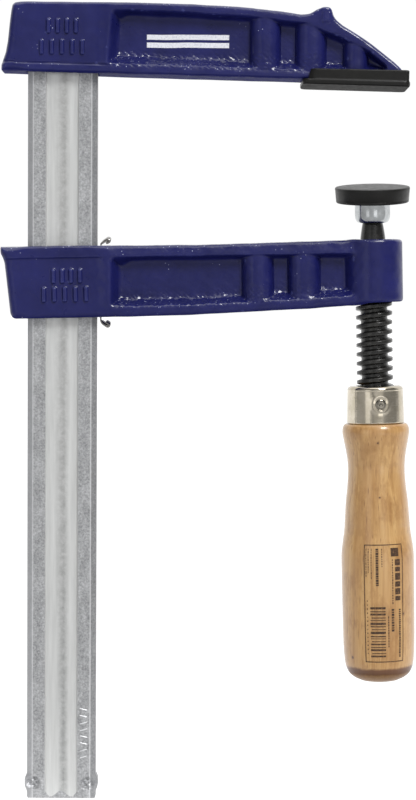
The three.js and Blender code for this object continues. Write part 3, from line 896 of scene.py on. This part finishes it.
def build_brake_spring():
    rise = [(15.5, 0), (15.6, 3), (16.1, 8.5), (16.6, 13.5), (16.6, 15.9)]
    hook = [(17, 17), (19.1, 18.6), (19.8, 18.85), (20.35, 18.6), (20.3, 17.9), (18.9, 17)]
    upper = [*rise, *hook]
    line = spline([*[(a, -b) for a, b in reversed(upper[1:])], *upper], 5)
    half_thick, half_width, hook_extra = 0.27, 2.95, 0.2
    corner = ((-1, -0.93), (-0.6, -1), (0.6, -1), (1, -0.93), (1, 0.93), (0.6, 1), (-0.6, 1), (-1, 0.93))
    rings = []
    for i, (px, pz) in enumerate(line):
        before, after = line[max(i - 1, 0)], line[min(i + 1, len(line) - 1)]
        along = (after - before) / np.linalg.norm(after - before)
        across = np.array([along[1], -along[0]])
        hooked = ramp(abs(pz), 16.2, 17.6)
        thick, tilt = half_thick + hook_extra * hooked, 0.5 * hooked
        rings.append(
            [
                (px + across[0] * s * thick, w * half_width, pz + across[1] * s * thick + tilt * w)
                for s, w in corner
            ]
        )
    points, faces = loft(rings)
    place = Matrix.Translation(arm_centre)
    leaf = make("brake_leaf", points, faces, place, "brake", "spring_steel", SPRING_STEEL, ["brake_spring"])
    sharpen(leaf, 50)


build_brake_spring()


# ---- the spindle ----

PITCH, CREST, ROOT = 4.0, 7.9, 5.8
THREAD_LOW, THREAD_HIGH = -49.6, 10.4
BALL_RADIUS = 5.85


def thread_radius(angle, z):
    phase = (z - PITCH * angle / (2 * np.pi)) / PITCH
    off = np.abs(phase - np.round(phase)) * PITCH
    fade = ramp(z, THREAD_LOW, THREAD_LOW + 2) * (1 - ramp(z, THREAD_HIGH - 2.4, THREAD_HIGH))
    return ROOT + (CREST - ROOT) * (1 - ramp(off, 0.62, 1.4)) * fade


def build_spindle():
    head_low = math.asin(-4.1 / BALL_RADIUS)
    head = [
        (BALL_RADIUS * math.cos(a), BALL_HEIGHT + BALL_RADIUS * math.sin(a))
        for a in np.linspace(head_low, math.acos(2.8 / BALL_RADIUS), 12)
    ]
    neck = spline([(5.8, 11.2), (5.6, 14), (5.25, 17.5), (4.65, 21.5), (4.2, 23.3)], 5)
    thread = np.arange(-63.5, 10.9, 0.2)
    profile = [(5.6, -64.0), *[(ROOT, z) for z in thread], *map(tuple, neck), *head]

    def ridge(angles, z):
        return thread_radius(angles, z) - ROOT if thread[0] <= z <= thread[-1] else 0 * angles

    points, faces = capped(profile, 96, ridge)
    look = ("spindle_and_handle", "black_steel", BLACK_OXIDE)
    make("spindle_screw", points, faces, SPINDLE_FRAME, *look, ["spindle"])


build_spindle()


# ---- the ferrule, its pin and the handle ----

PIN_TURN = math.radians(6.5) - math.pi / 2  # the near head's direction about the spindle
PIN_HEIGHT = -55.4
FERRULE_TOP, FERRULE_FOOT = -47.7, -63.9
PRINT_LIFT = 0.08


def ferrule_dent(angles, z):
    """The sleeve is pressed in round each head of the pin."""
    total = np.zeros(len(angles))
    for side in (0, math.pi):
        turn = (angles - PIN_TURN - side + math.pi) % (2 * math.pi) - math.pi
        away = np.hypot(turn * 12.3, z - PIN_HEIGHT)
        total += 0.10 * np.exp(-((away - 3.6) ** 2) / 0.7) - 0.42 * np.exp(-((away / 2.7) ** 4))
    return total


def build_ferrule():
    corner = 1.8
    shoulder = [
        (10.35 + corner * math.cos(a), FERRULE_TOP - corner + corner * math.sin(a))
        for a in np.linspace(0, math.pi / 2, 9)
    ]
    wall = [(12.5 - 0.38 * t, FERRULE_FOOT + 0.35 + t * 14.0) for t in np.linspace(0, 1, 44)]
    under = FERRULE_TOP - 0.9
    inside = [(8.3, FERRULE_TOP), (8.3, under), (10.4, under), (11.4, FERRULE_TOP - 2.4)]
    outline = [(11.75, FERRULE_FOOT), (12.3, FERRULE_FOOT), *wall, *shoulder, *inside]
    points, faces = ring_loop(outline, 144, lambda a, z: ferrule_dent(a, z) * (z < FERRULE_TOP - 2))
    look = ("spindle_and_handle", "nickel", NICKEL)
    sharpen(make("ferrule_sleeve", points, faces, SPINDLE_FRAME, *look, ["ferrule"]), 40)


def build_pin():
    """The rivet's two heads: low domes with a small dimple."""
    half, radius, dome = 12.7, 2.35, 0.6
    dimple, shank = 1.0, 1.9
    cap = [(0.02, half - 0.28), (0.35, half - 0.22), (0.7, half - 0.06), (dimple, half)]
    cap += [
        (dimple + (radius - dimple) * math.sin(a), half - dome + dome * math.cos(a))
        for a in np.linspace(0.25, math.pi / 2, 7)
    ]
    side = [(radius, half - dome - 0.6), (shank, half - dome - 0.7), (shank, 0)]
    upper = [*cap, *side]
    outline = [*upper, *[(r, -h) for r, h in reversed(upper[:-1])]]
    points, faces = capped(outline, 48)
    faces = [tuple(reversed(f)) for f in faces]
    turn = Matrix.Rotation(PIN_TURN, 4, "Z") @ Matrix.Rotation(math.pi / 2, 4, "Y")
    place = SPINDLE_FRAME @ Matrix.Translation((0, 0, PIN_HEIGHT * MM)) @ turn
    look = ("spindle_and_handle", "nickel", RIVET_NICKEL)
    sharpen(make("ferrule_rivet", points, faces, place, *look, ["ferrule_pin"]), 50)


def build_handle():
    foot = [(8.9, -176.1), (8.4, -176.3), (8.0, -176.15), (7.4, -176.4)]
    foot += [(4.5, HANDLE_END + 0.05), (0.4, HANDLE_END)]
    profile = [(0.3, -49.2), (10.4, -49.2), (11.2, -50.2), (11.2, -64.2)]
    profile += [*map(tuple, HANDLE_SHAPE), *map(tuple, spline(foot, 4)[1:])]

    def turning_marks(angles, z):
        return 0.04 * np.cos(2 * angles + 0.6) + (0.016 * math.sin(z * 5.3) + 0.012 * math.sin(z * 2.1 + 1))

    points, faces = capped(profile, 120, turning_marks)
    faces = [tuple(reversed(f)) for f in faces]
    make("turned_handle", points, faces, SPINDLE_FRAME, "spindle_and_handle", "beech", BEECH, ["handle"])


def build_print():
    """A printed frame with plain bars, blocks and dashes, wrapped on the handle's front."""
    points, faces = [], []

    def patch(left, right, low, high):
        """A patch between two distances round the surface from the front and two heights."""
        across = np.linspace(left, right, int((right - left) / 0.8) + 2)
        along = np.linspace(low, high, int((high - low) / 1.5) + 2)
        faces.extend(sheet(len(points), len(along), len(across)))
        points.extend(on_handle(s, z, PRINT_LIFT) for z in along for s in across)

    def dashes(around, wide, top, bottom, lengths, gap):
        """A column of dashes of these lengths in turn, from the top down."""
        z = top
        for length in cycle(lengths):
            if z - length <= bottom:
                break
            patch(around, around + wide, z - length, z)
            z -= length + gap

    left, right, low, high = -7.4, 10.3, -166.5, -115.5
    line = 0.35
    patch(left, left + line, low, high)
    patch(right - line, right, low, high)
    patch(left, right, low, low + line)
    patch(left, right, high - line, high)
    # stacked bars of several widths, with a row of dots beside them
    z = -164.2
    widths = (0.7, 0.3, 0.8, 0.35, 0.6, 0.3, 0.25, 0.5, 1.0, 0.3, 0.4, 0.9, 0.3, 0.35, 0.8, 0.4, 0.9)
    for i, (wide, gap) in enumerate(zip(widths, cycle((0.75, 0.95, 0.6, 0.85)))):
        patch(-4.8 + 0.5 * (i % 4 == 1), 1.8, z, z + wide)
        z += wide + gap
    dashes(-6.3, 0.45, -139.6, -164.2, (0.5, 0.35, 0.5), 1.3)
    dashes(2.9, 0.4, -146.5, -160.5, (1.0, 0.6, 0.8), 0.35)
    # short columns of dashes, one of them heavy
    start = -117.2
    dashes(-6.6, 0.3, start, -129.8, (0.9, 0.5, 1.3), 0.35)
    dashes(-5.6, 0.3, start, -128.6, (0.6, 1.1, 0.5), 0.35)
    dashes(-4.3, 0.3, start, -131.0, (1.0, 0.5, 0.8), 0.35)
    dashes(-2.2, 1.15, start, -133.5, (0.75, 0.5, 0.9), 0.25)
    dashes(0.3, 0.35, start, -125.8, (0.8, 0.5, 0.6), 0.4)
    # a solid block, and a heavy column of blocks beside the frame's right side
    patch(4.5, 8.2, -120.7, -117.1)
    dashes(6.3, 2.5, -122.0, -142.2, (2.6, 1.9, 2.9, 2.2), 0.75)
    dashes(4.9, 0.45, -122.0, -142.0, (0.6, 0.4, 0.8), 0.5)
    dashes(4.5, 1.2, -143.4, -154.0, (0.8, 0.5, 0.9), 0.4)
    dashes(8.0, 0.9, -143.6, -164.8, (0.7, 0.45, 0.6), 0.3)
    make("handle_print", points, faces, SPINDLE_FRAME, "spindle_and_handle", "beech", BROWN_INK)


build_ferrule()
build_pin()
build_handle()
build_print()


# ---- the swivelling pad, about the ball's centre ----

def build_pad():
    centre, cup_radius, socket = 0.02, 7.66, 6.15
    mouth = math.asin(-3.3 / socket)
    arc = np.linspace(math.pi / 2, mouth, 16)
    bowl = [(max(socket * math.cos(a), centre), socket * math.sin(a)) for a in arc]
    rolled = [(5.5, -3.75), (5.95, -4.2), (6.75, -3.95), (7.4, -2.8), (7.62, -1.4), (cup_radius, 0.4)]
    disc = [(cup_radius, 5.6), (8.0, 6.3), (14.3, 6.3), (14.6, 6.6), (14.6, 9.0), (14.3, 9.3)]
    disc.append((centre, 9.3))
    points, faces = capped([*bowl, *map(tuple, spline(rolled, 5)), *disc], 96)
    look = ("swivel_pad", "zinc_plate", PLATE_ZINC)
    sharpen(make("swivel_cup", points, faces, PLATE_FRAME, *look, ["pressure_plate"]), 40)

    inside = [(centre, 9.6), (14.9, 9.6), (14.9, 6.0), (12.0, 6.0), (12.0, 4.75), (12.3, 4.45)]
    side = [(15.35, 4.45), (15.7, 4.75), (15.76, 5.4), (15.7, 5.55), (15.8, 5.75), (16.1, 9.6)]
    top = [(16.22, 10.4), (16.12, 10.8), (15.8, 11.05), (15.3, 11.12), (10.0, 11.2), (centre, 11.28)]
    points, faces = capped([*inside, *side, *top], 120)
    look = ("swivel_pad", "black_plastic", BLACK_PLASTIC)
    sharpen(make("plate_pad", points, faces, PLATE_FRAME, *look, ["plate_cap"]), 30)


build_pad()

for material_slot in frame["nodes"]["thrust_ball"].material_slots:
    material_slot.material = SPRING_STEEL


# ---- floor, light and camera ----

def build_floor():
    height, far = cad_low.z - 0.0015, 30.0
    corners = [(-far, -far, height), (far, -far, height), (far, far, height), (-far, far, height)]
    mesh = bpy.data.meshes.new("floor")
    mesh.from_pydata(corners, [], [(0, 1, 2, 3)])
    pale = Paint("pale_floor", Roughness=0.9, Emission_Strength=1.0)
    # plain and pale grey in front; behind the clamp it glows white though it is no lamp, which also washes
    # out its shadows there
    depth = pale.node("ShaderNodeSeparateXYZ", {"Vector": pale.place}).outputs["Y"]
    front, back = -0.14, -0.004
    cloud = pale.map(pale.noise(400, 2), 0.3, 0.7, 0.46, 0.49)
    pale.link(pale.map(depth, front, back, cloud, 0.2), "Base Color")
    pale.link(pale.map(depth, front, back, 0.0, 0.96), "Emission Color")
    mesh.materials.append(pale.material)
    floor = bpy.data.objects.new("floor", mesh)
    bpy.context.scene.collection.objects.link(floor)


def build_surroundings():
    """A white tent behind the clamp, open and dimmer in front, with pale panels ahead and to the left."""
    world = bpy.data.worlds.new("studio")
    bpy.context.scene.world = world
    world.use_nodes = True
    sky = Nodes(world.node_tree)
    way = sky.node("ShaderNodeTexCoord").outputs["Generated"]
    split = sky.node("ShaderNodeSeparateXYZ", {"Vector": way}).outputs
    turn = sky.math("ARCTAN2", split["X"], sky.math("MULTIPLY", split["Y"], -1.0))
    share = sky.math("MULTIPLY_ADD", turn, 0.5 / math.pi, 0.5)

    def round_about(*panels):
        """Light levels round the horizon, in degrees to the right of the front."""
        return sky.bands(share, [(0.5 + degrees / 360, (level,) * 3) for degrees, level in panels])

    level_band = round_about(
        *((-104, 1), (-88, 0.2), (-80, 0.3), (-46, 0.55), (-30, 0.8), (-21, 0.8), (-16, 0.15)),
        *((-7, 0.66), (24, 0.66), (34, 0.3), (101, 0.22), (113, 1)),
    )
    elsewhere = round_about((-96, 1), (-84, 0.1), (98, 0.1), (110, 1))
    steep = sky.math("ABSOLUTE", split["Z"])
    sides = sky.map(steep, 0.34, 0.5, level_band, elsewhere)
    background = sky.tree.nodes["Background"].inputs
    sky.tree.links.new(sky.map(steep, 0.6, 0.95, sides, 0.95), background["Color"])
    background["Strength"].default_value = 1.02


def area(name, degrees, lift, reach, size, watts, shines=True):
    """A soft light aimed at the clamp's middle, from degrees to the right of the front and lift degrees up.
    One that doesn't shine is only seen mirrored in the metal."""
    centre = Vector((-0.07, 0, -0.13))
    turn, rise = math.radians(degrees), math.radians(lift)
    away = Vector((math.sin(turn) * math.cos(rise), -math.cos(turn) * math.cos(rise), math.sin(rise)))
    light = bpy.data.lights.new(name, "AREA")
    light.shape, light.size, light.size_y = "RECTANGLE", *size
    light.energy = watts
    lamp = bpy.data.objects.new(name, light)
    lamp.visible_diffuse = shines
    lamp.location = centre + away * reach
    lamp.rotation_euler = (-away).to_track_quat("-Z", "Y").to_euler()
    bpy.context.scene.collection.objects.link(lamp)


def build_lights():
    area("key", 30, 42, 2.6, (0.87, 0.87), 45)
    area("left_panel", -31, 2, 0.67, (0.24, 0.4), 0.17, shines=False)
    area("right_panel", 21, -8.4, 0.72, (0.26, 0.13), 0.1, shines=False)
    sky = bpy.data.lights.new("overhead", "SUN")
    sky.energy, sky.angle = 0.4, math.radians(50)
    overhead = bpy.data.objects.new("overhead", sky)
    overhead.rotation_euler = (math.radians(14), math.radians(8), 0)
    bpy.context.scene.collection.objects.link(overhead)


def build_camera():
    data = bpy.data.cameras.new("camera")
    data.sensor_fit = "VERTICAL"
    data.sensor_height = 36
    distance, tall = 0.86, 0.34868
    data.lens = 36 * distance / tall
    data.dof.use_dof = False
    pitch, roll = math.radians(2.827), math.radians(0.351)
    target = Vector((-0.07158, 0, -0.1352))
    place = target + Vector((0, -math.cos(pitch), math.sin(pitch))) * distance
    camera = bpy.data.objects.new("camera", data)
    turn = Matrix.Rotation(math.pi / 2 - pitch, 4, "X") @ Matrix.Rotation(roll, 4, "Z")
    camera.matrix_world = Matrix.Translation(place) @ turn
    bpy.context.scene.collection.objects.link(camera)
    bpy.context.scene.camera = camera


build_floor()
build_surroundings()
build_lights()
build_camera()
bpy.context.scene.view_settings.view_transform = "Standard"
bpy.context.scene.view_settings.look = "None"
